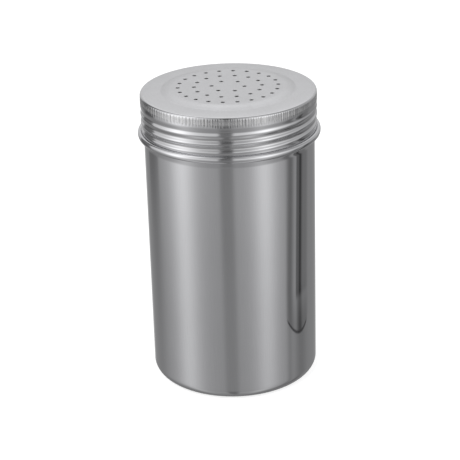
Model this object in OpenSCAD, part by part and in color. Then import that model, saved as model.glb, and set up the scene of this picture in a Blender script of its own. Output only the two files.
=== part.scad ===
// Screw-top spice shaker: a deep-drawn steel cup, a perforated screw lid and the seal ring between.
// Sizes are in millimetres and +Z is up. The origin is the centre of the standing face, and the
// screw axis is Z. The lid is drawn fully screwed down.

/* [Cup] */
// Outside diameter of the cup's wall
cup_d = 70; // [60:0.5:90]
// Height of the cup's mouth above the standing face
cup_h = 123; // [80:0.5:160]
// Thickness of the cup's sheet
cup_wall = 0.5; // [0.4:0.05:0.7]
// Outside radius of the corner between wall and base
base_corner_r = 5; // [2:0.5:8]
// How far the middle of the base is drawn up
base_recess_h = 0.8; // [0.4:0.1:1.5]
// Radius of the drawn-up middle of the base
base_recess_r = 24; // [12:0.5:25]
// Width of the slope around the drawn-up middle
base_slope_w = 1.6; // [1:0.1:3]
// How far the bead under the lid stands out past the cup's wall
bead_out = 0.3; // [0.1:0.05:0.4]
// Height of the bead
bead_h = 2.2; // [1.6:0.1:2.2]
// Distance from the lid's lower edge down to the middle of the bead
bead_drop = 0.8; // [0.8:0.1:2]
// Height of the cone between the cup's wall and its narrower neck
neck_slope_h = 1; // [0.6:0.1:1.2]
// Outside radius of the mouth's inward roll
mouth_roll_r = 0.9; // [0.8:0.05:1.2]

/* [Thread] */
// Rise of the lid in one turn
thread_pitch = 3.5; // [3:0.1:4]
// Depth of the rolled thread
thread_depth = 0.85; // [0.6:0.05:1]
// Radial gap between the lid's thread and the cup's
thread_gap = 0.25; // [0.2:0.05:0.4]
// How far the thread's crests on the cup stand out past its wall
crest_proud = 0.1; // [0:0.05:0.3]
// Height of a ridge on the lid, on the -Y side, below the lid's rim
ridge_drop = 11; // [9:0.5:13]
// Height over which the thread fades in and out at its ends
thread_fade = 1.9; // [1:0.1:3]

/* [Lid] */
// Thickness of the lid's sheet
lid_wall = 0.5; // [0.4:0.05:0.7]
// Height of the lid from its lower edge to its rim
lid_h = 18.95; // [16:0.05:22]
// Width of the rounded shoulder between rim and side
shoulder_w = 1.4; // [1:0.1:3]
// Height of the rounded shoulder
shoulder_h = 2.9; // [1.5:0.1:3.2]
// How far the perforated panel stands above the rim
panel_raise = 1.2; // [0.6:0.1:2]
// Radius of the flat perforated panel
panel_r = 23; // [22:0.5:24]
// Width of the soft step around the panel
panel_step_w = 5; // [3:0.5:6]
// How far the curled edge stands out past the lid's side
curl_out = 1.45; // [1.2:0.05:2.5]
// Height of the curled edge
curl_h = 2.8; // [2:0.1:3.5]

/* [Holes] */
// Diameter of one hole
hole_d = 1.6; // [1:0.1:2.4]
// Number of holes in the inner ring
inner_holes = 6; // [4:1:8]
// Radius of the inner ring of holes
inner_ring_r = 6.7; // [5:0.1:8]
// Angle from +X to the inner ring's first hole
inner_start = -6.5; // [-30:0.5:30]
// Number of holes in the middle ring
middle_holes = 14; // [8:1:18]
// Radius of the middle ring of holes
middle_ring_r = 13.8; // [12:0.1:15]
// Angle from +X to the middle ring's first hole
middle_start = 1; // [-13:0.5:13]
// Number of holes in the outer ring
outer_holes = 22; // [12:1:26]
// Radius of the outer ring of holes
outer_ring_r = 20.4; // [19:0.1:20.6]
// Angle from +X to the outer ring's first hole
outer_start = 1.7; // [-8:0.1:8]

/* [Knurl] */
// Number of grooves around the grip band
knurl_count = 144; // [90:1:150]
// Depth of one groove
knurl_depth = 0.2; // [0.1:0.02:0.26]
// Radius of the round tool that leaves one groove
knurl_tool_r = 0.4; // [0.3:0.02:0.5]
// Distance from the lid's rim to the lower end of the grooves
knurl_drop = 3.5; // [3.3:0.1:4]

/* [Seal] */
// Thickness of the seal ring
seal_t = 0.9; // [0.6:0.1:2]
// Width of the seal ring
seal_w = 2; // [1.5:0.1:2.2]
// Gap between the seal ring and the mouth's roll
seal_gap = 0.1; // [0.05:0.05:0.3]

/* [Hidden] */
$fn = 96;

// Steps along one rounded stretch of an outline, and along one turn and one pitch of the thread
arc_steps = 8;
curl_steps = 24;
turn_steps = 60;
pitch_steps = 8;
// Facets of a hole and of the knurling tool in the preview
small_facets = 24;
// The -Y side, where a ridge of the thread stands at ridge_z
ridge_side = 270;
// The threaded sleeves reach this far into the plain sheet at their ends, and sink this much into it
lap = 0.3;
lap_sink = 0.12;
// How far a cut runs past the faces it opens
cut_past = 0.3;
// The rolled edges end this many degrees around from where they start, just short of the sheet
mouth_roll_turn = 285;
lid_curl_turn = 288;

// Radii, from the cup's wall outwards
cup_r = cup_d / 2;
crest_r = cup_r + crest_proud;
lid_in_r = crest_r + thread_gap;
lid_r = lid_in_r + lid_wall;
root_r = lid_in_r - thread_gap - thread_depth;
bore_r = root_r - cup_wall;

// Heights, from the cup's mouth
rim_z = cup_h + seal_gap + seal_t + lid_wall;
panel_z = rim_z + panel_raise;
lid_z = rim_z - lid_h;
curl_a = (lid_wall + curl_out) / 2;
curl_z = lid_z + curl_h / 2;
knurl_z = rim_z - knurl_drop;
ridge_z = rim_z - ridge_drop;
lid_thread_lo = lid_z + curl_h + 2 * lap;
lid_thread_hi = knurl_z - lap;
neck_thread_lo = lid_z + curl_h;
neck_thread_hi = cup_h - 2 * mouth_roll_r - lap;
neck_z = neck_thread_lo - lap - neck_slope_h / 2;
bead_z = lid_z - bead_drop;
seal_r = root_r - mouth_roll_r + seal_w / 2;

steel = [0.74, 0.74, 0.75];
satin_steel = [0.8, 0.8, 0.8];
rubber = [0.86, 0.86, 0.83];

// Points on an ellipse about c with half-axes a and b, from angle t0 to t1
function arc(c, a, b, t0, t1, steps = arc_steps) =
    [for (i = [0:steps]) let (t = t0 + (t1 - t0) * i / steps) c + [a * cos(t), b * sin(t)]];

// Rises smoothly from 0 to 1 while t goes from 0 to 1
function ease(t) = let (u = min(max(t, 0), 1)) (1 - cos(180 * u)) / 2;

// 1 on a ridge of the right-hand helix and -1 in the valley between two turns
function helix(a, z) = cos(360 * (z - ridge_z) / thread_pitch - (a - ridge_side));

// Full between lo and hi, fading to nothing at both
function fade(z, lo, hi) = ease((z - lo) / thread_fade) * ease((hi - z) / thread_fade);

// Outside radius of the lid's thread: valleys are pressed into a sleeve of the full radius
function lid_thread_r(a, z) =
    lid_r - thread_depth * fade(z, lid_thread_lo, lid_thread_hi) * (1 - helix(a, z)) / 2;

// Outside radius of the cup's thread: ridges are pressed out of a sleeve of the root radius
function neck_thread_r(a, z) =
    root_r + thread_depth * fade(z, neck_thread_lo, neck_thread_hi) * (1 + helix(a, z)) / 2;

// A sleeve of sheet between two heights, with its outside radius given by r(a, z). Both ends run
// on into the plain sheet above and below it.
module threaded_sleeve(lo, hi, wall, r) {
    span = hi - lo - 2 * lap;
    steps = ceil(span / thread_pitch * pitch_steps);
    heights = concat([lo - lap], [for (i = [0:steps]) lo + lap + span * i / steps], [hi + lap]);
    rows = len(heights);
    sink = function (i) (i == 0 || i == rows - 1) ? lap_sink : 0;
    ring = function (i, inset) [
        for (j = [0:turn_steps - 1])
            let (a = 360 * j / turn_steps, q = r(a, heights[i]) - inset)
                [q * cos(a), q * sin(a), heights[i]]
    ];
    points = concat(
        [for (i = [0:rows - 1]) each ring(i, sink(i))],
        [for (i = [0:rows - 1]) each ring(i, wall - sink(i))]
    );
    at = function (side, i, j) (side * rows + i) * turn_steps + j % turn_steps;
    faces = concat(
        [for (i = [0:rows - 2], j = [0:turn_steps - 1]) [at(0, i, j), at(0, i + 1, j), at(0, i + 1, j + 1)]],
        [for (i = [0:rows - 2], j = [0:turn_steps - 1]) [at(0, i, j), at(0, i + 1, j + 1), at(0, i, j + 1)]],
        [for (i = [0:rows - 2], j = [0:turn_steps - 1]) [at(1, i, j), at(1, i + 1, j + 1), at(1, i + 1, j)]],
        [for (i = [0:rows - 2], j = [0:turn_steps - 1]) [at(1, i, j), at(1, i, j + 1), at(1, i + 1, j + 1)]],
        [for (j = [0:turn_steps - 1]) [at(0, 0, j), at(0, 0, j + 1), at(1, 0, j)]],
        [for (j = [0:turn_steps - 1]) [at(0, 0, j + 1), at(1, 0, j + 1), at(1, 0, j)]],
        [for (j = [0:turn_steps - 1]) [at(0, rows - 1, j), at(1, rows - 1, j), at(0, rows - 1, j + 1)]],
        [for (j = [0:turn_steps - 1]) [at(0, rows - 1, j + 1), at(1, rows - 1, j), at(1, rows - 1, j + 1)]]
    );
    polyhedron(points = points, faces = faces);
}

// One side of the bead, from the bottom up, on a wall of radius r
function bead(r) = [
    for (i = [0:curl_steps])
        let (t = i / curl_steps) [r + bead_out * (1 - cos(360 * t)) / 2, bead_z + bead_h * (t - 0.5)]
];

// Base, wall, bead and the cone up to the neck
module cup_shell() {
    inner_bead = bead(cup_r - cup_wall);
    corner = [cup_r - base_corner_r, base_corner_r];
    inner_corner_r = base_corner_r - cup_wall;
    slope_in_r = base_recess_r - base_slope_w;
    rotate_extrude()
        polygon(concat(
            [[0, base_recess_h], [slope_in_r, base_recess_h], [base_recess_r, 0]],
            arc(corner, base_corner_r, base_corner_r, -90, 0),
            bead(cup_r),
            [[cup_r, neck_z - neck_slope_h / 2], [root_r, neck_z + neck_slope_h / 2]],
            [[root_r, neck_thread_lo], [bore_r, neck_thread_lo]],
            [[bore_r, neck_z + neck_slope_h / 2], [cup_r - cup_wall, neck_z - neck_slope_h / 2]],
            [for (i = [curl_steps:-1:0]) inner_bead[i]],
            arc(corner, inner_corner_r, inner_corner_r, 0, -90),
            [[base_recess_r, cup_wall], [slope_in_r, base_recess_h + cup_wall], [0, base_recess_h + cup_wall]]
        ));
}

// Plain end of the neck, rolled inwards at the mouth
module mouth_roll() {
    centre = [root_r - mouth_roll_r, cup_h - mouth_roll_r];
    hollow_r = mouth_roll_r - cup_wall;
    rotate_extrude()
        polygon(concat(
            [[root_r, neck_thread_hi]],
            arc(centre, mouth_roll_r, mouth_roll_r, 0, mouth_roll_turn, curl_steps),
            arc(centre, hollow_r, hollow_r, mouth_roll_turn, 0, curl_steps),
            [[bore_r, neck_thread_hi]]
        ));
}

module cup() {
    color(steel)
        union() {
            cup_shell();
            threaded_sleeve(neck_thread_lo, neck_thread_hi, cup_wall, function (a, z) neck_thread_r(a, z));
            mouth_roll();
        }
}

module lid_seal() {
    color(rubber)
        translate([0, 0, cup_h + seal_gap])
            difference() {
                cylinder(r = seal_r, h = seal_t);
                translate([0, 0, -cut_past])
                    cylinder(r = seal_r - seal_w, h = seal_t + 2 * cut_past);
            }
}

// Outline of the lid's top from the middle out, lowered by drop and with its shoulder set in by inset
function lid_top_outline(drop, inset) = concat(
    [[0, panel_z - drop]],
    [
        for (i = [0:arc_steps])
            let (t = i / arc_steps) [panel_r + panel_step_w * t, panel_z - drop - panel_raise * ease(t)]
    ],
    arc([lid_r - shoulder_w, rim_z - shoulder_h], shoulder_w - inset, shoulder_h - inset, 90, 0)
);

// Perforated panel, soft step, rim, rounded shoulder and the plain grip band
module lid_cap() {
    outside = lid_top_outline(0, 0);
    inside = lid_top_outline(lid_wall, lid_wall);
    last = len(inside) - 1;
    rotate_extrude()
        polygon(concat(
            outside,
            [[lid_r, lid_thread_hi], [lid_in_r, lid_thread_hi]],
            [for (i = [last:-1:0]) inside[i]]
        ));
}

// Lower edge of the lid, curled outwards and back up to its side
module lid_curl() {
    centre = [lid_in_r + curl_a, curl_z];
    end = 180 + lid_curl_turn;
    rotate_extrude()
        polygon(concat(
            [[lid_in_r, lid_thread_lo]],
            arc(centre, curl_a, curl_h / 2, 180, end, curl_steps),
            arc(centre, curl_a - lid_wall, curl_h / 2 - lid_wall, end, 180, curl_steps),
            [[lid_r, lid_thread_lo]]
        ));
}

// One ring of holes through the panel, with a hole on the +X side turned by start degrees
module hole_ring(count, r, start) {
    for (i = [0:count - 1])
        rotate([0, 0, start + 360 * i / count])
            translate([r, 0, panel_z - lid_wall - cut_past])
                cylinder(d = hole_d, h = lid_wall + 2 * cut_past, $fn = small_facets);
}

// Upright grooves of the grip band: they fade out where the shoulder curves away from the tool
module knurl() {
    for (i = [0:knurl_count - 1])
        rotate([0, 0, 360 * i / knurl_count])
            translate([lid_r + knurl_tool_r - knurl_depth, 0, knurl_z])
                cylinder(r = knurl_tool_r, h = knurl_drop + cut_past, $fn = small_facets);
}

module lid() {
    color(satin_steel)
        union() {
            difference() {
                lid_cap();
                hole_ring(inner_holes, inner_ring_r, inner_start);
                hole_ring(middle_holes, middle_ring_r, middle_start);
                hole_ring(outer_holes, outer_ring_r, outer_start);
                knurl();
            }
            threaded_sleeve(lid_thread_lo, lid_thread_hi, lid_wall, function (a, z) lid_thread_r(a, z));
            lid_curl();
        }
}

cup();
lid_seal();
lid();
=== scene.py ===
"""Finished surfaces and studio of a screw-top spice shaker.

Sizes are in millimetres until a mesh is made. +Z is up along the screw axis, and the origin is
the centre of the standing face. Angles round the axis run counter-clockwise from +X.
"""

import logging
import math
from collections.abc import Mapping
from dataclasses import dataclass, field
from enum import Enum
from typing import Any

import bmesh
import bpy
import numpy as np
import numpy.typing as npt
from mathutils import Matrix, Vector


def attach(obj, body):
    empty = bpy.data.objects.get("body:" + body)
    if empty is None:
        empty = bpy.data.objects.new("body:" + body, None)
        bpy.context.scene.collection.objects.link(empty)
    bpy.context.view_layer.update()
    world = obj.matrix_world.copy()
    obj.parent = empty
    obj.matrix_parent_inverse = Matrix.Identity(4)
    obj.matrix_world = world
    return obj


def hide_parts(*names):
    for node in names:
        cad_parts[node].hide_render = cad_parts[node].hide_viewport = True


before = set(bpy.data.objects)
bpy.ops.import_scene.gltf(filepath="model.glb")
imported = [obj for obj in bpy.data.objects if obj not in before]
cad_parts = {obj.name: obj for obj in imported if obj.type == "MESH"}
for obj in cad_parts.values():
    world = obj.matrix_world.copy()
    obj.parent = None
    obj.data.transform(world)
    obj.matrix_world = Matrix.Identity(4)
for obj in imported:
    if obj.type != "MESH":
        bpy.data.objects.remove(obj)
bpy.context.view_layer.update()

log = logging.getLogger("shaker")

Floats = npt.NDArray[np.float64]
Ints = npt.NDArray[np.int64]
Colour = tuple[float, float, float]

# The two values between which something eases in
Ramp = tuple[float, float]

WHITE: Colour = (1.0, 1.0, 1.0)
MM = 0.001
WELD = 2e-6

# Points round the axis on every plain stretch, and how many times finer the knurl is
TURN = 288
KNURL_SPLIT = 4

# Edges that turn by more than this, in degrees, stay sharp
SHARP = 50.0


def ease(t: Floats) -> Floats:
    """Rises from 0 to 1 while t goes from 0 to 1, as (1 - cos(pi t)) / 2, and holds outside."""
    return (1 - np.cos(np.pi * np.clip(t, 0, 1))) / 2


def arc(
    centre: tuple[float, float], across: float, up: float, start: float, end: float, steps: int
) -> Floats:
    """Points centre + (across cos t, up sin t) of an ellipse, t going from start to end degrees."""
    t = np.radians(np.linspace(start, end, steps + 1))
    return np.column_stack([centre[0] + across * np.cos(t), centre[1] + up * np.sin(t)])


def line(a: tuple[float, float], b: tuple[float, float], steps: int) -> Floats:
    """Even points from a to b in the (radius, height) plane, both ends included."""
    return np.linspace(a, b, steps + 1)


def turn_angles(count: int = TURN) -> Floats:
    """Even angles round the axis, in radians, without the closing one."""
    return np.arange(count) * (2 * np.pi / count)


def revolve(profile: Floats, count: int = TURN) -> Floats:
    """Carries a profile round the axis.

    The point of row i and column j is (r_i cos a_j, r_i sin a_j, z_i), with even angles a_j.

    Args:
        profile: rows of radius and height, or an array (rows, count, 2) where they change round
            the axis.
        count: number of points round the axis.

    Returns:
        The grid, as an array (rows, count, 3).
    """
    a = turn_angles(count)
    section = profile[:, None, :] if profile.ndim == 2 else profile
    r = np.broadcast_to(section[..., 0], (len(profile), count))
    z = np.broadcast_to(section[..., 1], (len(profile), count))
    return np.stack([r * np.cos(a), r * np.sin(a), z], axis=-1)


def turned(r: Floats, z: Floats) -> Floats:
    """Carries radii that change round the axis, an array of rows by angles, round it at heights z."""
    return revolve(np.stack([r, np.broadcast_to(z.reshape(-1, 1), r.shape)], axis=-1), r.shape[1])


class Skin:
    """Patches of points that are gathered and welded into one closed mesh.

    Every patch is a grid whose rows run along the sheet and whose columns run round a circle.
    The outside is where (along the rows) x (along the columns) points.
    """

    def __init__(self, name: str) -> None:
        """Starts an empty skin of that name."""
        self.name = name
        self._points: list[Floats] = []
        self._wear_and_shade: list[Floats] = []
        self._loops: list[Ints] = []
        self._count = 0

    def _add(self, points: Floats, wear_and_shade: Floats | float = 0.0) -> int:
        """Keeps a patch's points.

        Args:
            points: array (..., 3).
            wear_and_shade: depth in a groove, 0 to 1: rougher, with grime and painted shade.

        Returns:
            The first point's number.
        """
        first = self._count
        self._points.append(points.reshape(-1, 3))
        # How rough and dark each point is, for grime and painted shade in the grooves
        self._wear_and_shade.append(np.broadcast_to(wear_and_shade, points.shape[:-1]).reshape(-1).astype(float))
        self._count += points[..., 0].size
        return first

    def grid(self, points: Floats, wear_and_shade: Floats | float = 0.0, closed: bool = True) -> None:
        """Adds a grid.

        Face (i, j) joins points (i, j), (i + 1, j), (i + 1, j + 1) and (i, j + 1).

        Args:
            points: array (rows, columns, 3).
            wear_and_shade: depth in a groove, 0 to 1: rougher, with grime and painted shade.
            closed: true where the rows close into rings.
        """
        rows, columns = points.shape[:2]
        index = self._add(points, wear_and_shade) + np.arange(rows * columns).reshape(rows, columns)
        after = np.roll(index, -1, axis=1)
        quads = np.stack([index[:-1], index[1:], after[1:], after[:-1]], axis=-1)
        self._loops.append((quads if closed else quads[:, :-1]).reshape(-1, 4))

    def pole(self, ring: Floats, height: float, outward: bool) -> None:
        """Closes a ring round the axis with a fan.

        Args:
            ring: the ring's points, counter-clockwise from above.
            height: height of the fan's centre on the axis.
            outward: true where the sheet runs from the centre to the ring, false where it ends
                in the centre.
        """
        first = self._add(np.vstack([ring, [0, 0, height]]))
        here = first + np.arange(len(ring))
        after = np.roll(here, -1)
        centre = np.full(len(ring), first + len(ring))
        fan = [centre, here, after] if outward else [centre, after, here]
        self._loops.append(np.stack(fan, axis=-1))

    def step_up(self, coarse: Floats, fine: Floats, downward: bool) -> None:
        """Joins a ring to one with KNURL_SPLIT times its points.

        Between two coarse points, the first half of the fine edges fans from the first of them
        and the rest from the second.

        Args:
            coarse: the ring with fewer points.
            fine: the ring with more points.
            downward: true where the sheet runs from the coarse ring to the fine one.
        """
        base = self._add(coarse) + np.arange(len(coarse))
        many = self._add(fine) + np.arange(len(fine)).reshape(-1, KNURL_SPLIT)
        beyond = np.column_stack([many, np.roll(many[:, 0], -1)])
        after = np.roll(base, -1)
        half = KNURL_SPLIT // 2
        hubs = [base] * half + [after] * (KNURL_SPLIT - half)
        parts = [np.stack([hub, beyond[:, k], beyond[:, k + 1]], axis=-1) for k, hub in enumerate(hubs)]
        faces = np.concatenate([*parts, np.stack([base, beyond[:, half], after], axis=-1)])
        self._loops.append(faces if downward else faces[:, ::-1])

    def build(self, material: bpy.types.Material) -> bpy.types.Object:
        """Makes the mesh object, welds the patches' shared borders and shades it smooth.

        Args:
            material: the finish of the whole skin.

        Returns:
            The object, linked to the scene, with a point attribute "groove".
        """
        mesh = bpy.data.meshes.new(self.name)
        points = np.concatenate(self._points) * MM
        sizes = np.concatenate([np.full(len(f), f.shape[1]) for f in self._loops])
        corners = np.concatenate([f.reshape(-1) for f in self._loops])
        mesh.vertices.add(len(points))
        mesh.vertices.foreach_set("co", points.astype(np.float32).ravel())
        mesh.loops.add(len(corners))
        mesh.loops.foreach_set("vertex_index", corners.astype(np.int32))
        mesh.polygons.add(len(sizes))
        starts = np.concatenate([[0], np.cumsum(sizes)[:-1]])
        mesh.polygons.foreach_set("loop_start", starts.astype(np.int32))
        groove = mesh.attributes.new("groove", "FLOAT", "POINT")
        groove.data.foreach_set("value", np.concatenate(self._wear_and_shade).astype(np.float32))
        mesh.update(calc_edges=True)
        welded = bmesh.new()
        welded.from_mesh(mesh)
        bmesh.ops.remove_doubles(welded, verts=welded.verts, dist=WELD)
        welded.to_mesh(mesh)
        welded.free()
        mesh.polygons.foreach_set("use_smooth", np.ones(len(mesh.polygons), bool))
        mesh.set_sharp_from_angle(angle=math.radians(SHARP))
        mesh.validate()
        mesh.materials.append(material)
        piece = bpy.data.objects.new(self.name, mesh)
        bpy.context.scene.collection.objects.link(piece)
        return piece


@dataclass(frozen=True)
class Pattern:
    """A noise: patches to a unit of its coordinates, finer layers, and the share of each."""

    scale: float
    layers: float
    share: float


class Value:
    """A shader socket that takes part in Python arithmetic."""

    def __init__(self, graph: "Graph", socket: bpy.types.NodeSocket) -> None:
        """Wraps a socket of a graph's node."""
        self.graph = graph
        self.socket = socket

    def sibling(self, output: str) -> "Value":
        """Another output of the same node."""
        return Value(self.graph, self.socket.node.outputs[output])

    def math(self, operation: str, *others: "Value | float") -> "Value":
        """One Math node on this value and the others."""
        return self.graph.math(operation, self, *others)

    def __add__(self, other: "Value | float") -> "Value":
        """Sum."""
        return self.math("ADD", other)

    __radd__ = __add__

    def __sub__(self, other: "Value | float") -> "Value":
        """Difference."""
        return self.math("SUBTRACT", other)

    def __rsub__(self, other: float) -> "Value":
        """Difference from a number."""
        return self.graph.math("SUBTRACT", other, self)

    def __mul__(self, other: "Value | float") -> "Value":
        """Product."""
        return self.math("MULTIPLY", other)

    __rmul__ = __mul__

    def __truediv__(self, other: "Value | float") -> "Value":
        """Quotient."""
        return self.math("DIVIDE", other)

    def __rtruediv__(self, other: float) -> "Value":
        """A number over this value."""
        return self.graph.math("DIVIDE", other, self)

    def __pow__(self, other: "Value | float") -> "Value":
        """Power."""
        return self.math("POWER", other)

    def __rpow__(self, other: float) -> "Value":
        """A number to the power of this value."""
        return self.graph.math("POWER", other, self)

    def __neg__(self) -> "Value":
        """The value with its sign turned."""
        return self.math("MULTIPLY", -1.0)

    def __abs__(self) -> "Value":
        """Size without the sign."""
        return self.math("ABSOLUTE")

    def swing(self, size: float) -> "Value":
        """A noise from 0 to 1 made to swing about 0, over that size."""
        return (self - 0.5) * size

    def rise(self, low: float, high: float) -> "Value":
        """Smooth step from 0 at low to 1 at high."""
        settings = {"interpolation_type": "SMOOTHSTEP"}
        return self.graph.node("ShaderNodeMapRange", settings, {0: self, 1: low, 2: high})

    def fall(self, low: float, high: float) -> "Value":
        """Smooth step from 1 at low to 0 at high."""
        return 1 - self.rise(low, high)

    def bell(self, centre: float, width: float, order: float = 2.0) -> "Value":
        """exp(-(|d| / width) ^ order), with d the way round from centre, in degrees."""
        away = abs((self - centre).math("WRAP", 180.0, -180.0)) / width
        return (-(away**order)).math("EXPONENT")


class Graph:
    """A node tree that is filled through one method."""

    def __init__(self, tree: bpy.types.NodeTree) -> None:
        """Empties the tree."""
        self.tree = tree
        tree.nodes.clear()

    def node(
        self,
        kind: str,
        settings: Mapping[str, Any] | None = None,
        inputs: Mapping[str | int, Any] | None = None,
        output: str | int = 0,
    ) -> Value:
        """Makes a node.

        Args:
            kind: the node's type.
            settings: its properties, which are set first.
            inputs: values or links of its sockets, by name or number.
            output: the output that is handed back, by name or number.

        Returns:
            That output, ready for arithmetic, or the first input of a node without outputs.
        """
        made = self.tree.nodes.new(kind)
        for key, value in (settings or {}).items():
            setattr(made, key, value)
        for key, value in (inputs or {}).items():
            if isinstance(value, Value):
                self.tree.links.new(value.socket, made.inputs[key])
            else:
                made.inputs[key].default_value = value
        ends = made.outputs if len(made.outputs) else made.inputs
        return Value(self, ends[output])

    def math(self, operation: str, *operands: Value | float) -> Value:
        """One Math node."""
        return self.node("ShaderNodeMath", {"operation": operation}, dict(enumerate(operands)))

    def vector(self, operation: str, *operands: Value, output: str = "Vector") -> Value:
        """One Vector Math node."""
        return self.node("ShaderNodeVectorMath", {"operation": operation}, dict(enumerate(operands)), output)

    def point(self) -> Value:
        """Object coordinates, in metres."""
        return self.node("ShaderNodeTexCoord", output="Object")

    def split(self, vector: Value) -> tuple[Value, Value, Value]:
        """The three parts of a vector."""
        x = self.node("ShaderNodeSeparateXYZ", None, {0: vector})
        return x, x.sibling("Y"), x.sibling("Z")

    def join(self, x: Value, y: Value, z: Value | float = 0.0) -> Value:
        """A vector of three parts."""
        return self.node("ShaderNodeCombineXYZ", None, {0: x, 1: y, 2: z})

    def mix(self, share: Value | float, a: Value | Colour, b: Value | Colour) -> Value:
        """Blend of two colours, which are a Mix node's sockets 6 and 7 and its output 2."""
        a, b = ((*c, 1.0) if isinstance(c, tuple) else c for c in (a, b))
        return self.node("ShaderNodeMix", {"data_type": "RGBA"}, {0: share, 6: a, 7: b}, 2)

    def noise(self, where: Value, pattern: Pattern) -> Value:
        """Noise from 0 to 1."""
        grain = {"Scale": pattern.scale, "Detail": pattern.layers, "Roughness": pattern.share}
        return self.node("ShaderNodeTexNoise", None, {"Vector": where, **grain})

    def surface(self, shader: Value) -> None:
        """Makes a shader the material's surface."""
        self.node("ShaderNodeOutputMaterial", None, {"Surface": shader})

    def solid(self, sockets: Mapping[str, Any]) -> None:
        """Makes the material's surface a Principled shader with these sockets."""
        self.surface(self.node("ShaderNodeBsdfPrincipled", None, sockets))


def grey(tone: float) -> tuple[float, float, float, float]:
    """A grey for a colour socket."""
    return (tone, tone, tone, 1.0)


def new_material(name: str) -> tuple[bpy.types.Material, Graph]:
    """Makes an empty material.

    Args:
        name: the material's name.

    Returns:
        The material and its graph.
    """
    made = bpy.data.materials.new(name)
    made.use_nodes = True
    return made, Graph(made.node_tree)


class Sheet:
    """A steel sheet's colour, roughness and metal, while one layer is laid over the other."""

    def __init__(self, graph: Graph, smear: Pattern) -> None:
        """Starts with polished steel, and works out what several layers share.

        Args:
            graph: the material's graph.
            smear: pattern of the smears.
        """
        self.graph = graph
        self.point = graph.point()
        x, y, z = graph.split(self.point)
        self.height = z / MM
        self.along = ((x * x + y * y) ** 0.5 + z) / MM
        self.facing = graph.vector("NORMALIZE", graph.join(x, y))
        self.smear = graph.noise(self.point, smear)
        self.colour: Value | Colour = WHITE
        self.rough: Value | float = 0.0
        self.metal: Value | float = 1.0

    def drawn(self, around: float, up: Value, pattern: Pattern) -> Value:
        """Noise on a cylinder of radius around, at height up, which draws it out into lines."""
        x, y, _ = self.graph.split(self.facing)
        return self.graph.noise(self.graph.join(x * around, y * around, up), pattern)


@dataclass(frozen=True)
class Satin:
    """Satin upper side with a fine speckle, from start up."""

    start: float
    blend: float
    rougher: float = 0.26
    smear_rough: float = 0.08
    speckle: Pattern = Pattern(1300.0, 2.0, 0.7)
    blotch: Pattern = Pattern(160.0, 2.0, 0.5)
    blotch_share: float = 0.5
    clean: float = 0.55
    share: float = 0.6
    tone: Colour = (0.4, 0.4, 0.4)

    def lay(self, sheet: Sheet) -> None:
        """Lays the satin on.

        Args:
            sheet: the sheet under it.
        """
        graph, point = sheet.graph, sheet.point
        top = sheet.height.rise(self.start, self.start + self.blend)
        sheet.rough = sheet.rough + top * (self.rougher + sheet.smear.swing(self.smear_rough))
        specks = graph.noise(point, self.speckle) + graph.noise(point, self.blotch) * self.blotch_share
        sheet.colour = graph.mix(top * (specks - self.clean) * self.share, sheet.colour, self.tone)


@dataclass(frozen=True)
class MattBand:
    """Rolled band between two heights, rougher than the side and with uneven drag marks.

    The marks are where a noise drawn out along the axis passes mark_from. The steel between them
    is lighter.
    """

    low: float
    high: float
    rougher: float
    soft: float = 0.3
    fade: float = 1.2
    mark_soft: float = 0.4
    mark_around: float = 85.0
    mark_up: float = 0.06
    mark: Pattern = Pattern(1.0, 2.0, 0.6)
    mark_from: Ramp = (0.38, 0.66)
    mark_share: float = 0.66
    mark_tone: Colour = (0.82, 0.82, 0.82)

    def lay(self, sheet: Sheet) -> None:
        """Lays the band on.

        Args:
            sheet: the sheet under it.
        """
        height = sheet.height
        dull = height.rise(self.low - self.soft, self.low + self.soft)
        dull = dull * height.fall(self.high - self.fade, self.high + self.soft)
        sheet.rough = sheet.rough + dull * self.rougher
        marked = height.rise(self.low - self.mark_soft, self.low + self.mark_soft)
        marked = marked * height.fall(self.high - self.mark_soft, self.high + self.mark_soft)
        drag = sheet.drawn(self.mark_around, height * self.mark_up, self.mark).rise(*self.mark_from)
        sheet.colour = sheet.graph.mix(marked * (self.mark_share - drag), sheet.colour, self.mark_tone)


@dataclass(frozen=True)
class MattInside:
    """Pickled, matt inside: the faces towards the axis, below a height.

    How far a face looks towards the axis is a number from -1 to 1.
    """

    below: float = 125.0
    soft: float = 0.2
    towards: Ramp = (0.3, 0.8)
    rougher: float = 0.3
    metal: float = 0.45
    tone: Colour = (0.62, 0.62, 0.61)

    def lay(self, sheet: Sheet) -> None:
        """Lays the matt side on.

        Args:
            sheet: the sheet under it.
        """
        normal = sheet.point.sibling("Normal")
        outward = sheet.graph.vector("DOT_PRODUCT", normal, sheet.facing, output="Value")
        inside = (-outward).rise(*self.towards)
        inside = inside * sheet.height.fall(self.below - self.soft, self.below + self.soft)
        sheet.colour = sheet.graph.mix(inside, sheet.colour, self.tone)
        sheet.rough = sheet.rough + inside * self.rougher
        sheet.metal = sheet.metal - inside * (1 - self.metal)


class Grain(Enum):
    """Way of the drawing lines: how fast their noise changes round the axis and along the sheet."""

    LENGTHWISE = (36.0, 0.05)
    AROUND = (1.5, 1.0)


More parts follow.
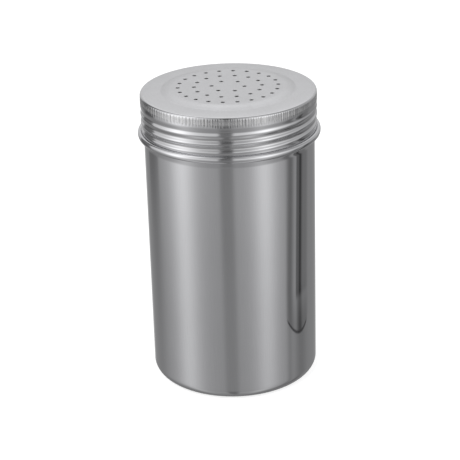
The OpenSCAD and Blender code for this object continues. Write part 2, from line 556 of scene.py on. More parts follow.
@dataclass(frozen=True)
class SteelFinish:
    """Polished stainless steel with fine drawing lines, clouds, smears and dull, darker grooves.

    The shade swings between dark and light shares of the tone, and the drawing lines are 0.35 mm
    apart. The grooves' darker colour is grime and painted shade. The layers are laid over that.
    """

    name: str
    grain: Grain
    polished: float
    layers: tuple[Satin | MattBand | MattInside, ...]
    tone: Colour = (0.603, 0.604, 0.62)
    dark: float = 0.8
    light: float = 1.14
    middle: float = 0.55
    lines: Pattern = Pattern(1 / 0.35, 3.0, 0.6)
    line_shade: float = 0.26
    line_rough: float = 0.05
    cloud: Pattern = Pattern(11.0, 2.0, 0.5)
    cloud_shade: float = 0.2
    smear: Pattern = Pattern(38.0, 4.0, 0.55)
    smear_shade: float = 0.16
    smear_rough: float = 0.09
    # Grooves are rougher, and darker with grime and painted shade
    groove_grime_and_shade_share: float = 0.5
    groove_grime_and_shade_tone: Colour = (0.2, 0.195, 0.185)
    groove_rough: float = 0.12
    relief: float = 0.004
    relief_strength: float = 0.35
    cloud_relief: float = 2.0

    def material(self) -> bpy.types.Material:
        """Makes the material.

        Returns:
            The material, which reads Object coordinates and the attribute "groove".
        """
        made, graph = new_material(self.name)
        sheet = Sheet(graph, self.smear)
        around, along = self.grain.value
        lines = sheet.drawn(around, sheet.along * along, self.lines)
        cloud = graph.noise(sheet.point, self.cloud)
        groove = graph.node("ShaderNodeAttribute", {"attribute_name": "groove"}, output="Fac")
        shade = lines.swing(self.line_shade) + cloud.swing(self.cloud_shade)
        shade = shade + sheet.smear.swing(self.smear_shade) + self.middle
        dark, light = (tuple(share * c for c in self.tone) for share in (self.dark, self.light))
        # Darker in the grooves: grime and painted shade
        sheet.colour = graph.mix(groove * self.groove_grime_and_shade_share, graph.mix(shade, dark, light), self.groove_grime_and_shade_tone)
        sheet.rough = self.polished + sheet.smear.swing(self.smear_rough)
        sheet.rough = sheet.rough + lines.swing(self.line_rough) + groove * self.groove_rough
        for layer in self.layers:
            layer.lay(sheet)
        relief = {"Strength": self.relief_strength, "Distance": self.relief * MM}
        bump = graph.node("ShaderNodeBump", None, {**relief, "Height": lines + cloud * self.cloud_relief})
        look = {"Base Color": sheet.colour, "Metallic": sheet.metal, "Roughness": sheet.rough}
        graph.solid({**look, "Normal": bump})
        return made


@dataclass(frozen=True)
class SiliconeFinish:
    """Matt moulded silicone with a fine dusty skin and faint stains."""

    name: str
    tone: Colour = (0.84, 0.84, 0.81)
    ior: float = 1.41
    rough: float = 0.55
    dust: Pattern = Pattern(900.0, 4.0, 0.6)
    dust_rough: float = 0.2
    dust_relief: float = 0.05
    relief_strength: float = 0.25
    stain: Pattern = Pattern(70.0, 3.0, 0.5)
    stain_from: Ramp = (0.35, 0.75)
    stain_share: float = 0.35
    stain_tone: Colour = (0.74, 0.71, 0.62)

    def material(self) -> bpy.types.Material:
        """Makes the material.

        Returns:
            The material, which reads Object coordinates.
        """
        made, graph = new_material(self.name)
        point = graph.point()
        dust = graph.noise(point, self.dust)
        stain = graph.noise(point, self.stain).rise(*self.stain_from)
        colour = graph.mix(stain * self.stain_share, self.tone, self.stain_tone)
        relief = {"Strength": self.relief_strength, "Distance": self.dust_relief * MM}
        bump = graph.node("ShaderNodeBump", None, {**relief, "Height": dust})
        look = {"Base Color": colour, "Roughness": self.rough + dust * self.dust_rough}
        graph.solid({**look, "Normal": bump, "IOR": self.ior})
        return made


@dataclass(frozen=True)
class Thread:
    """The rolled right-hand wave that the lid and the neck share."""

    pitch: float = 3.5
    depth: float = 0.57
    ridge_z: float = 113.5
    fade: float = 1.9
    lean: float = 0.1
    crest: float = 1.15

    def ridge(self, angle: Floats, z: Floats) -> Floats:
        """1 on a ridge and 0 in a valley, for a row of angles and a column of heights."""
        # The phase t turns with the helix, and its lean makes the upper flanks the steeper ones.
        # The wave is ((1 + cos u) / 2) ^ crest, with u = t + lean (1 - cos t).
        t = 2 * np.pi * (z - self.ridge_z) / self.pitch - angle - np.pi / 2
        return ((1 + np.cos(t + self.lean * (1 - np.cos(t)))) / 2) ** self.crest

    def swing(self, z: Floats, low: float, high: float, run_out: float) -> Floats:
        """The wave's depth: full between low and high, easing to 0 over the fade and the run-out."""
        return self.depth * (ease((z - low) / self.fade) * ease((high - z) / run_out))


@dataclass(frozen=True)
class Knurl:
    """Upright grooves that a toothed roller pressed into the lid's grip band.

    The roller went over one side, round the angle second_at, twice. There its grooves closed up,
    and the first ones were flattened to first_left. Each beat is a size, waves round the axis,
    their shift and the waves that they beat with. Each slip is a size, waves and their shift.
    """

    count: int = 144
    depth: float = 0.07
    low: float = 120.4
    high: float = 124.2
    run_out: float = 0.7
    sharpness: float = 1.6
    closed_up: float = 1.5
    second_at: float = -0.35
    second_edge: float = 3.0
    first_left: float = 0.3
    usual: float = 0.95
    least: float = 0.15
    most: float = 1.4
    beats: tuple[tuple[float, int, float, int], ...] = ((0.35, 5, 1.0, 11), (0.25, 23, 2.0, 7))
    slips: tuple[tuple[float, int, float], ...] = ((0.9, 13, 1.0), (0.7, 29, 0.0))
    # How much the grooves are rougher, and darker with grime and painted shade
    wear_and_shade: float = 0.75

    def grooves(self, a: Floats, z: Floats) -> Floats:
        """Depth of the grooves, as a share of the full depth.

        A row of grooves is ((1 + cos u) / 2) ^ sharpness. u is count a plus the slips, which let
        it run to and fro, and closed_up times that in the second row. Both rows are as deep as
        usual plus the beats, and ease to nothing at both ends of the band.

        Args:
            a: angles round the axis.
            z: heights, as a column.

        Returns:
            The depths, as an array of heights by angles.
        """
        band = ease((z - self.low) / self.run_out) * ease((self.high - z) / self.run_out)
        beats = sum(size * np.sin(n * a + shift) * np.sin(m * a) for size, n, shift, m in self.beats)
        slips = sum(size * np.sin(n * a + shift) for size, n, shift in self.slips)
        speeds = np.array([[1.0], [self.closed_up]])
        first, second = ((1 + np.cos(speeds * (self.count * a + slips))) / 2) ** self.sharpness
        twice = ease(0.5 + self.second_edge * np.cos(a - self.second_at))
        rows = first * (1 - (1 - self.first_left) * twice) + second * twice
        return band * np.clip(self.usual + beats, self.least, self.most) * rows


@dataclass(frozen=True)
class HoleRing:
    """A ring of sprinkling holes: its radius, how many there are and the first one's angle."""

    radius: float
    count: int
    start: float


@dataclass
class Lid:
    """Stamped screw lid: perforated panel, knurled band, rolled ridges and a curled edge.

    fine_past is how far the knurl's finer grid reaches past the band on both sides.
    """

    name: str = "lid_shell"
    wall: float = 0.5
    side_r: float = 35.95
    rim_z: float = 124.72
    rim_crown: float = 0.36
    shoulder_w: float = 0.96
    shoulder_h: float = 1.4
    shoulder_from: float = 84.0
    panel_z: float = 125.7
    panel_r: float = 23.0
    step_w: float = 4.8
    step_turn: float = 0.85
    step_power: float = 1.65
    hub_r: float = 3.2
    rings: tuple[HoleRing, ...] = (HoleRing(6.7, 6, -6.5), HoleRing(13.8, 14, 1.0), HoleRing(20.4, 22, 1.7))
    hole_r: float = 0.84
    hole_edge: float = 0.07
    hole_collar: float = 2.2
    # The hole walls are rougher, and darker with grime and painted shade
    hole_wear_and_shade: float = 0.5
    cell_step: float = 0.9
    knurl: Knurl = Knurl()
    fine_past: float = 0.3
    thread: Thread = Thread()
    thread_low: float = 108.95
    thread_high: float = 121.2
    thread_run_out: float = 5.8
    # The thread's valleys are rougher, and darker with grime and painted shade
    valley_wear_and_shade: float = 0.35
    band_low: float = 119.8
    band_blend: float = 2.4
    band_inset: float = 0.035
    tuck_high: float = 110.1
    tuck_low: float = 108.3
    tuck_depth: float = 0.14
    curl_r: float = 36.425
    curl_z: float = 107.3
    curl_across: float = 0.975
    curl_up: float = 1.42
    curl_turn: float = 303.0
    finish: SteelFinish = SteelFinish(
        "lid_steel",
        Grain.AROUND,
        polished=0.1,
        layers=(Satin(124.28, 0.12), MattBand(121.35, 123.4, 0.2), MattInside()),
    )

    def build(self) -> bpy.types.Object:
        """Makes the lid's mesh and dresses it.

        Returns:
            The lid.
        """
        skin = Skin(self.name)
        self._panel(skin)
        self._top(skin)
        self._band(skin)
        self._side(skin)
        return skin.build(self.finish.material())

    def _panel(self, skin: Skin) -> None:
        """Adds the perforated panel: a hub, and rings of cells with a hole in each.

        Args:
            skin: the lid's skin.
        """
        radii = [ring.radius for ring in self.rings]
        borders = (self.hub_r, *((a + b) / 2 for a, b in zip(radii, radii[1:])), self.panel_r)
        for level, outward in ((self.panel_z, True), (self.panel_z - self.wall, False)):
            hub = revolve(line((self.hub_r / 3, level), (self.hub_r, level), steps=2))
            skin.grid(hub if outward else hub[::-1])
            skin.pole(hub[0], level, outward)
        for ring, inner, outer in zip(self.rings, borders, borders[1:]):
            middles = ring.start + (np.arange(ring.count) + 0.5) * 360 / ring.count
            cuts = np.round(middles * TURN / 360).astype(int)
            for k in range(ring.count):
                first, last = cuts[k - 1] - (TURN if k == 0 else 0), cuts[k]
                centre = math.radians(ring.start + k * 360 / ring.count)
                self._cell(skin, ring.radius, centre, (inner, outer), (first, last))

    def _cell(
        self,
        skin: Skin,
        ring_r: float,
        centre: float,
        radii: tuple[float, float],
        cuts: tuple[int, int],
    ) -> None:
        """Adds one cell of the panel with its punched hole.

        The columns go once round the cell's border. The rows run along the underside from the
        border to the hole, up its wall, over a rounded edge and out along the top, past a collar
        that is hole_collar times as wide as the edge, to the border. The wall is rougher, and its
        darker colour is grime and painted shade.

        Args:
            skin: the lid's skin.
            ring_r: radius of the ring that the hole is on.
            centre: the hole's angle round the axis, in radians.
            radii: the cell's inner and outer radius.
            cuts: numbers of the round points at which the cell starts and ends.
        """
        inner, outer = radii
        ahead = np.arange(cuts[0], cuts[1] + 1) * (2 * np.pi / TURN)
        side = np.linspace(outer, inner, max(3, round((outer - inner) / self.cell_step)) + 1)[1:-1]
        r = np.concatenate([np.full(len(ahead), outer), side, np.full(len(ahead), inner), side[::-1]])
        ends = np.full(len(side), ahead[-1]), np.full(len(side), ahead[0])
        a = np.concatenate([ahead, ends[0], ahead[::-1], ends[1]])
        border = np.column_stack([r * np.cos(a), r * np.sin(a)])
        middle = ring_r * np.array([math.cos(centre), math.sin(centre)])
        way = border - middle
        unit = way / np.linalg.norm(way, axis=1, keepdims=True)
        top, under = self.panel_z, self.panel_z - self.wall
        edge, hole = self.hole_edge, self.hole_r
        turn = np.radians([0, 30, 60, 90])
        rim = [(hole + edge * (1 - math.cos(t)), top - edge * (1 - math.sin(t))) for t in turn]
        near = [(hole, under), *rim, (hole + self.hole_collar * edge, top)]
        rows = [middle + unit * q for q, _ in near]
        out = [rows[-1] + (border - rows[-1]) * share for share in (0.3, 0.65, 1.0)]
        back = [rows[0] + (border - rows[0]) * share for share in (1.0, 0.4)]
        flat = np.stack([*back, *rows, *out])
        heights = np.array([under] * len(back) + [z for _, z in near] + [top] * len(out))
        grid = np.concatenate([flat, np.broadcast_to(heights[:, None, None], (*flat.shape[:2], 1))], axis=-1)
        # Rougher, and darker with grime and painted shade, on the hole's wall
        worn_and_shaded = np.zeros(len(flat))
        worn_and_shaded[len(back) : len(back) + 3] = self.hole_wear_and_shade
        skin.grid(grid, worn_and_shaded[:, None])

    def _step(self, drop: float) -> Floats:
        """The step round the panel.

        Over t from 0 to 1 it falls as k t ^ p, a wide round bend, and past t = q as
        1 - m (1 - t) ^ 2, a tight hollow. k and m make both meet at q at the same slope.

        Args:
            drop: how far the whole step is lowered.

        Returns:
            Rows of radius and height, outwards.
        """
        q, p = self.step_turn, self.step_power
        t = np.concatenate([np.linspace(0, q, 9), np.linspace(q, 1, 6)[1:]])
        k = 1 / (q**p + (1 - q) * p * q ** (p - 1) / 2)
        m = k * p * q ** (p - 1) / (2 * (1 - q))
        share = np.where(t < q, k * t**p, 1 - m * (1 - t) ** 2)
        height = self.panel_z - drop - (self.panel_z - self.rim_z) * share
        return np.column_stack([self.panel_r + self.step_w * t, height])

    def _rim(self, r: Floats) -> Floats:
        """The rim at radii r, which falls by rim_crown (t + t ^ 3) / 2 on its way to the shoulder.

        Args:
            r: the radii.

        Returns:
            Rows of radius and height.
        """
        start = self.panel_r + self.step_w
        t = np.clip((r - start) / (self._bend(0.0, 1)[0, 0] - start), 0, 1)
        return np.column_stack([r, self.rim_z - self.rim_crown * (t + t**3) / 2])

    def _bend(self, sheet: float, steps: int) -> Floats:
        """The shoulder's section from the rim down to the side.

        It is an ellipse's arc that starts at shoulder_from, where it is as steep as the rim.

        Args:
            sheet: how far inside the outer side it lies.
            steps: number of steps along it.

        Returns:
            Rows of radius and height.
        """
        up = (self.shoulder_h - self.rim_crown) / math.sin(math.radians(self.shoulder_from))
        centre = (self.side_r - self.band_inset - self.shoulder_w, self.rim_z - self.shoulder_h)
        return arc(centre, self.shoulder_w - sheet, up - sheet, self.shoulder_from, 0, steps)

    def _top(self, skin: Skin) -> None:
        """Adds the step and the rim, on the outside and underneath.

        Args:
            skin: the lid's skin.
        """
        end = self._bend(0.0, 1)[0, 0] - self.fine_past
        rim = self._rim(np.linspace(self.panel_r + self.step_w, end, 8))
        skin.grid(revolve(np.vstack([self._step(0.0), rim[1:]])))
        under = (rim - [0.0, self.wall])[:0:-1]
        skin.grid(revolve(np.vstack([self._bend(self.wall, 4)[::-1], under, self._step(self.wall)[::-1]])))

    def _band(self, skin: Skin) -> None:
        """Adds the shoulder and the knurled band, on a finer grid than the rest.

        The band's radius is the side's, less the knurl's depth times its grooves.

        Args:
            skin: the lid's skin.
        """
        past = self.fine_past * np.array([1.0, 0.5])
        bend = self._bend(0.0, 10)
        head = self._rim(bend[0, 0] - past)
        tail = np.linspace(self.rim_z - self.shoulder_h, self.knurl.low - past[1], 6)[1:]
        a = turn_angles(TURN * KNURL_SPLIT)
        plain = np.vstack([head[1:], bend])
        z = np.concatenate([plain[:, 1], tail])[:, None]
        r = np.vstack([np.broadcast_to(plain[:, :1], (len(plain), len(a))), self._wave(tail, a)])
        groove = self.knurl.grooves(a, z)
        points = turned(r - self.knurl.depth * groove, z)
        # The knurl's grooves are rougher, and darker with grime and painted shade
        skin.grid(points, groove * self.knurl.wear_and_shade)
        last = np.array([self.knurl.low - past[0]])
        skin.step_up(revolve(head[:1])[0], points[0], True)
        skin.step_up(turned(self._wave(last, turn_angles()), last)[0], points[-1], False)

    def _wave(self, z: Floats, a: Floats) -> Floats:
        """Outside radius of the side below the shoulder.

        It is side_r less the thread's swing times (1 - ridge), less the knurled band's inset,
        which eases in from band_low up, and less a tuck over the curled edge, which bends in as
        1 - cos(t pi / 2).

        Args:
            z: heights.
            a: angles round the axis.

        Returns:
            The radii, as an array of heights by angles.
        """
        z = z[:, None]
        swing = self.thread.swing(z, self.thread_low, self.thread_high, self.thread_run_out)
        valley = swing * (1 - self.thread.ridge(a[None, :], z))
        inset = self.band_inset * ease((z - self.band_low) / self.band_blend)
        t = np.clip((self.tuck_high - z) / (self.tuck_high - self.tuck_low), 0, 1)
        tuck = self.tuck_depth * (1 - np.cos(t * np.pi / 2))
        back = ease((z - self.curl_z) / (self.tuck_low - self.curl_z))
        return self.side_r - valley - inset - tuck * back

    def _side(self, skin: Skin) -> None:
        """Adds the ridged side, the curled edge and the inside of the side.

        Args:
            skin: the lid's skin.
        """
        a = turn_angles()
        ridged = np.linspace(self.knurl.low - self.fine_past, self.tuck_low, 73)
        tucked = self.tuck_low - (self.tuck_low - self.curl_z) * np.array([0.4, 0.7, 1.0])
        z = np.concatenate([ridged, tucked])
        r = self._wave(z, a)
        # Rougher, and darker with grime and painted shade, deeper in the valleys
        worn_and_shaded = np.clip((self.side_r - r) / self.thread.depth, 0, 1) ** 2
        skin.grid(turned(r, z), worn_and_shaded * self.valley_wear_and_shade)
        centre, across, up = (self.curl_r, self.curl_z), self.curl_across, self.curl_up
        end = 180 + self.curl_turn
        hollow = arc(centre, across - self.wall, up - self.wall, 180, end, steps=11)
        outside = arc(centre, across, up, end, 180, steps=26)
        lip = (outside[:1] + hollow[-1:]) / 2
        skin.grid(revolve(np.vstack([hollow, lip, outside])))
        top = self.rim_z - self.shoulder_h
        z = np.concatenate([np.linspace(self.curl_z, self.thread_high, 25), [top]])
        skin.grid(turned(self._wave(z, a) - self.wall, z))


@dataclass
class Cup:
    """Deep-drawn cup: drawn-up base, plain side, bead, rolled neck and a mouth rolled inwards.

    side_start and side_end are how far the side's even rows stay off the corner and the bead.
    """

    name: str = "cup_shell"
    wall: float = 0.5
    side_r: float = 35.0
    corner_r: float = 4.5
    side_start: float = 1.0
    side_end: float = 0.4
    recess_h: float = 0.8
    recess_r: float = 24.0
    recess_slope: float = 1.6
    foot_w: float = 0.4
    hub_r: float = 2.0
    bead_low: float = 103.25
    bead_crest: float = 105.9
    bead_high: float = 107.0
    bead_out: float = 0.3
    cone_low: float = 107.05
    cone_high: float = 108.05
    root_r: float = 34.25
    thread: Thread = Thread()
    thread_low: float = 108.35
    thread_high: float = 120.9
    mouth_z: float = 123.0
    roll_r: float = 0.9
    roll_turn: float = 285.0
    finish: SteelFinish = SteelFinish("cup_steel", Grain.LENGTHWISE, polished=0.06, layers=(MattInside(),))

    def build(self) -> bpy.types.Object:
        """Makes the cup's mesh and dresses it.

        Returns:
            The cup.
        """
        skin = Skin(self.name)
        inside, outside = self._sheet(self.wall), self._sheet(0.0)
        skin.pole(inside[0], inside[0, 0, 2], True)
        skin.grid(inside)
        skin.grid(self._mouth())
        skin.grid(outside[::-1])
        skin.pole(outside[0], outside[0, 0, 2], False)
        return skin.build(self.finish.material())

    def _sheet(self, inset: float) -> Floats:
        """One side of the sheet, from the middle of the base to the mouth's roll.

        The bead rises to bead_out as (1 - cos(pi t)) / 2 on both of its flanks, and the neck is
        root_r + swing * ridge of the thread.

        Args:
            inset: how far inside the outer side it lies.

        Returns:
            The grid of points.
        """
        level = self.recess_h + inset
        base = line((self.hub_r, level), (self.recess_r - self.recess_slope, level), steps=4)
        foot = line((self.recess_r, inset), (self.recess_r + self.foot_w, inset), steps=1)
        bend = self.corner_r - inset
        corner = arc((self.side_r - self.corner_r, self.corner_r), bend, bend, -90, 0, steps=16)
        r = self.side_r - inset
        side = line((r, self.corner_r + self.side_start), (r, self.bead_low - self.side_end), steps=12)
        z = np.linspace(self.bead_low, self.bead_high, 25)
        rise = ease((z - self.bead_low) / (self.bead_crest - self.bead_low))
        fall = ease((self.bead_high - z) / (self.bead_high - self.bead_crest))
        bead = np.column_stack([r + self.bead_out * rise * fall, z])
        t = np.linspace(0, 1, 9)
        narrower = (self.side_r - self.root_r) * ease(t)
        cone = np.column_stack([r - narrower, self.cone_low + (self.cone_high - self.cone_low) * t])
        lower = np.vstack([base, foot, corner, side, bead, cone])
        z = np.linspace(self.thread_low, self.thread_high, 58)[:, None]
        swing = self.thread.swing(z, self.thread_low, self.thread_high, self.thread.fade)
        root = self.root_r - inset
        neck = root + swing * self.thread.ridge(turn_angles()[None, :], z)
        last = np.array([[root, self.mouth_z - self.roll_r]])
        return np.concatenate([revolve(lower), turned(neck, z), revolve(last)])

    def _mouth(self) -> Floats:
        """Works out the roll at the mouth: along its hollow, round the cut edge and back outside.

        Returns:
            The grid of points.
        """
        centre = (self.root_r - self.roll_r, self.mouth_z - self.roll_r)
        hollow_r = self.roll_r - self.wall
        hollow = arc(centre, hollow_r, hollow_r, 0, self.roll_turn, steps=22)
        outside = arc(centre, self.roll_r, self.roll_r, self.roll_turn, 0, steps=30)
        return revolve(np.vstack([hollow, outside]))


@dataclass
class Seal:
    """Flat silicone ring under the lid's rim, with rounded corners and a moulding line."""

    name: str = "seal_ring"
    outer_r: float = 34.35
    inner_r: float = 32.35
    low_z: float = 123.1
    high_z: float = 123.93
    corner: float = 0.2
    flash: float = 0.03
    finish: SiliconeFinish = SiliconeFinish("seal_rubber")

    def build(self) -> bpy.types.Object:
        """Makes the ring's mesh and dresses it.

        Returns:
            The seal.
        """
        q = self.corner
        inner, outer = self.inner_r + q, self.outer_r - q
        low, high = self.low_z + q, self.high_z - q
        middle = (self.low_z + self.high_z) / 2
        flash = [(0.0, q / 2), (self.flash, 0.0), (0.0, -q / 2)]
        section = np.vstack(
            [
                arc((inner, high), q, q, 180, 90, steps=5),
                arc((outer, high), q, q, 90, 0, steps=5),
                np.array([self.outer_r, middle]) + flash,
                arc((outer, low), q, q, 0, -90, steps=5),
                arc((inner, low), q, q, -90, -180, steps=5),
                [[self.inner_r, middle]],
            ]
        )
        skin = Skin(self.name)
        skin.grid(revolve(np.vstack([section, section[:1]])))
        return skin.build(self.finish.material())


def shown_rays(graph: Graph) -> Value:
    """1 for rays that show a background: the camera's, mirrored ones and those through glass."""
    seen = graph.node("ShaderNodeLightPath", output="Is Camera Ray")
    return (seen + seen.sibling("Is Glossy Ray") + seen.sibling("Is Transmission Ray")).math("MINIMUM", 1.0)


def hide(prop: bpy.types.Object, diffuse: bool) -> None:
    """Leaves a studio prop to be mirrored only, without a shadow.

    Args:
        prop: the studio prop.
        diffuse: true where it lights matt things too.
    """
    prop.visible_camera = False
    prop.visible_diffuse = diffuse
    prop.visible_shadow = False


def glow(made: bpy.types.Material, graph: Graph, shade: Any, cover: Value | None = None) -> None:
    """Ends a prop's material in a plain glow, which isn't sampled as a lamp.

    Args:
        made: the prop's material.
        graph: its graph.
        shade: the glow's colour, at strength 1.
        cover: 1 where the prop is and 0 where it is clear, or None where it is everywhere.
    """
    shader = graph.node("ShaderNodeEmission", None, {"Color": shade, "Strength": 1.0})
    if cover is not None:
        clear = graph.node("ShaderNodeBsdfTransparent")
        shader = graph.node("ShaderNodeMixShader", None, {0: cover, 1: clear, 2: shader})
    graph.surface(shader)
    made.cycles.emission_sampling = "NONE"


@dataclass(frozen=True)
class SoftBox:
    """A soft box behind the tent: a bright core in a wide spill.

    high_share is what is left of it high up. From low_edge up it brightens over edge_soft degrees.
    On the table's sheet it is weaker, and it dips there by dip.
    """

    bearing: float
    core_width: float
    core: float
    spill_width: float
    spill: float
    high_share: float
    low_edge: float
    dip: float
    edge_soft: float = 22.0
    weak: float = 0.67
    strong: float = 1.14
    strong_ramp: Ramp = (-52.0, -10.0)
    dip_comes: Ramp = (-60.0, -36.0)
    dip_goes: Ramp = (-30.0, -20.0)

    def light(self, bearing: Value, height: Value, high: Value, front: float) -> Value:
        """The box's light on the cloth.

        Args:
            bearing: the point's bearing.
            height: its height.
            high: 0 low down and 1 high up.
            front: how much brighter it gets above its low edge.

        Returns:
            The light.
        """
        core = bearing.bell(self.bearing, self.core_width) * self.core
        spill = bearing.bell(self.bearing, self.spill_width) * self.spill
        spread = height.rise(*self.strong_ramp) * (self.strong - self.weak) + self.weak
        dip = height.rise(*self.dip_comes) * height.fall(*self.dip_goes) * self.dip
        bright = 1 + front * height.rise(self.low_edge, self.low_edge + self.edge_soft)
        return (core + spill) * spread * (1 - dip) * (1 - (1 - self.high_share) * high) * bright


@dataclass(frozen=True)
class Patch:
    """A brighter patch of the cloth: where it is, and the heights where it comes and goes."""

    bearing: float
    width: float
    strength: float
    comes: Ramp
    goes: Ramp
    left: float = 0.0

    def light(self, bearing: Value, height: Value) -> Value:
        """The patch's light, of which the share left stays over its upper heights."""
        over = 1 - (1 - self.left) * height.rise(*self.goes)
        return bearing.bell(self.bearing, self.width) * self.strength * height.rise(*self.comes) * over


@dataclass(frozen=True)
class DarkGap:
    """A dark seam of the tent: its bearing, and its width and depth below and above the horizon.

    The upper part takes over between the heights in meet, and the orders say how sharp the sides
    of each part are. foot_share is how much of the lower part's depth is left near the table, and
    far below the horizon it is below_depth times as deep.
    """

    bearing: float
    low_width: float
    low_depth: float
    high_width: float
    high_depth: float
    foot_share: float = 1.0
    high_order: float = 6.0
    meet: Ramp = (-18.0, 5.0)
    low_order: float = 2.0
    below_depth: float = 2.6
    below_ramp: Ramp = (-58.0, -30.0)
    foot_ramp: Ramp = (-29.0, -22.0)
    top_ramp: Ramp = (80.0, 89.0)

    def left(self, bearing: Value, height: Value) -> Value:
        """Share of the cloth's light that the seam leaves.

        Args:
            bearing: the point's bearing.
            height: its height.

        Returns:
            The share.
        """
        low = bearing.bell(self.bearing, self.low_width, self.low_order) * self.low_depth
        low = low * (self.below_depth - (self.below_depth - 1) * height.rise(*self.below_ramp))
        low = low * (self.foot_share + (1 - self.foot_share) * height.rise(*self.foot_ramp))
        high = bearing.bell(self.bearing, self.high_width, self.high_order) * self.high_depth
        high = high * height.fall(*self.top_ramp)
        over = height.rise(*self.meet)
        return 1 - low * (1 - over) - high * over


@dataclass
class Tent:
    """White light tent round the table, lit through by soft boxes, with a dark slot for the camera.

    Bearings run from the camera's side to the right, and heights up from the horizon, both in
    degrees. The lower half is the sheet that the table is covered with, so it carries the same
    light, weaker and more even.
    """

    radius: float = 12000.0
    boxes: tuple[SoftBox, ...] = (
        SoftBox(-68.0, 17.5, 0.31, 48.0, 0.27, high_share=1.2, low_edge=-26.5, dip=0.13),
        SoftBox(46.0, 16.0, 0.33, 49.0, 0.26, high_share=0.65, low_edge=-12.0, dip=0.33),
    )
    # The sheet at the back, the back wall in two steps, the horizon and both sides of the roof
    patches: tuple[Patch, ...] = (
        Patch(-178.5, 14.0, 0.68, (-60.0, -25.0), (-18.0, 5.0)),
        Patch(180.0, 47.0, 0.15, (-18.0, 5.0), (52.0, 72.0), left=1.0),
        Patch(180.0, 47.0, 0.8625, (10.0, 44.0), (52.0, 72.0), left=0.261),
        Patch(180.0, 75.0, 0.1, (-16.0, -6.0), (-4.0, 8.0)),
        Patch(-82.0, 42.0, 0.5, (25.0, 48.0), (58.0, 75.0)),
        Patch(48.0, 30.0, 0.3, (25.0, 48.0), (58.0, 75.0)),
    )
    gaps: tuple[DarkGap, ...] = (
        DarkGap(-5.3, 9.7, 0.3, 9.2, 0.71, 0.7, high_order=7.0, meet=(-23.5, -9.0), low_order=4.0),
        DarkGap(-127.0, 15.0, 0.28, 14.0, 0.72, 0.4, high_order=10.0, meet=(-24.0, -15.0)),
        DarkGap(83.0, 5.0, 0.24, 5.0, 0.0),
        DarkGap(106.0, 14.0, 0.3, 26.0, 0.12),
    )
    base: float = 0.29
    front: float = 0.85
    front_ramp: Ramp = (-18.0, 5.0)
    sheet: float = 0.06
    sheet_ramp: Ramp = (-75.0, -35.0)
    high_loss: float = 0.4
    high_ramp: Ramp = (12.0, 38.0)
    top_loss: float = 0.2
    top_ramp: Ramp = (58.0, 80.0)
    reach: float = 85.0

    def build(self) -> bpy.types.Object:
        """Makes the tent as a ball of rings round the table, closed over its upper and lower reach.

        Returns:
            The tent.
        """
        e = np.radians(np.linspace(-self.reach, self.reach, 35))
        skin = Skin("light_tent")
        rings = revolve(np.column_stack([np.cos(e), np.sin(e)]) * self.radius, 72)
        skin.pole(rings[0], -self.radius, True)
        skin.grid(rings)
        skin.pole(rings[-1], self.radius, False)
        tent = skin.build(self._material())
        hide(tent, diffuse=True)
        return tent

    def _material(self) -> bpy.types.Material:
        """Makes the glowing cloth: base light, boxes, patches and seams over bearing and height.

        Returns:
            The material.
        """
        made, graph = new_material("tent_cloth")
        x, y, z = graph.split(graph.vector("NORMALIZE", graph.point()))
        bearing = x.math("ARCTAN2", -y) * math.degrees(1)
        height = z.math("ARCSINE") * math.degrees(1)
        high = height.rise(*self.high_ramp)
        light = self.base * (1 + self.front * height.rise(*self.front_ramp))
        light = light + self.sheet * height.fall(*self.sheet_ramp)
        for box in self.boxes:
            light = light + box.light(bearing, height, high, self.front)
        light = light * (1 - self.high_loss * high - self.top_loss * height.rise(*self.top_ramp))
        for patch in self.patches:
            light = light + patch.light(bearing, height)
        for gap in self.gaps:
            light = light * gap.left(bearing, height)
        glow(made, graph, light)
        return made


@dataclass(frozen=True)
class Tone:
    """A change of the card's shade over a pair of bearings, by its own amount low and high."""

    bearings: Ramp
    low: float
    high: float
    heights: Ramp = (17.0, 22.0)


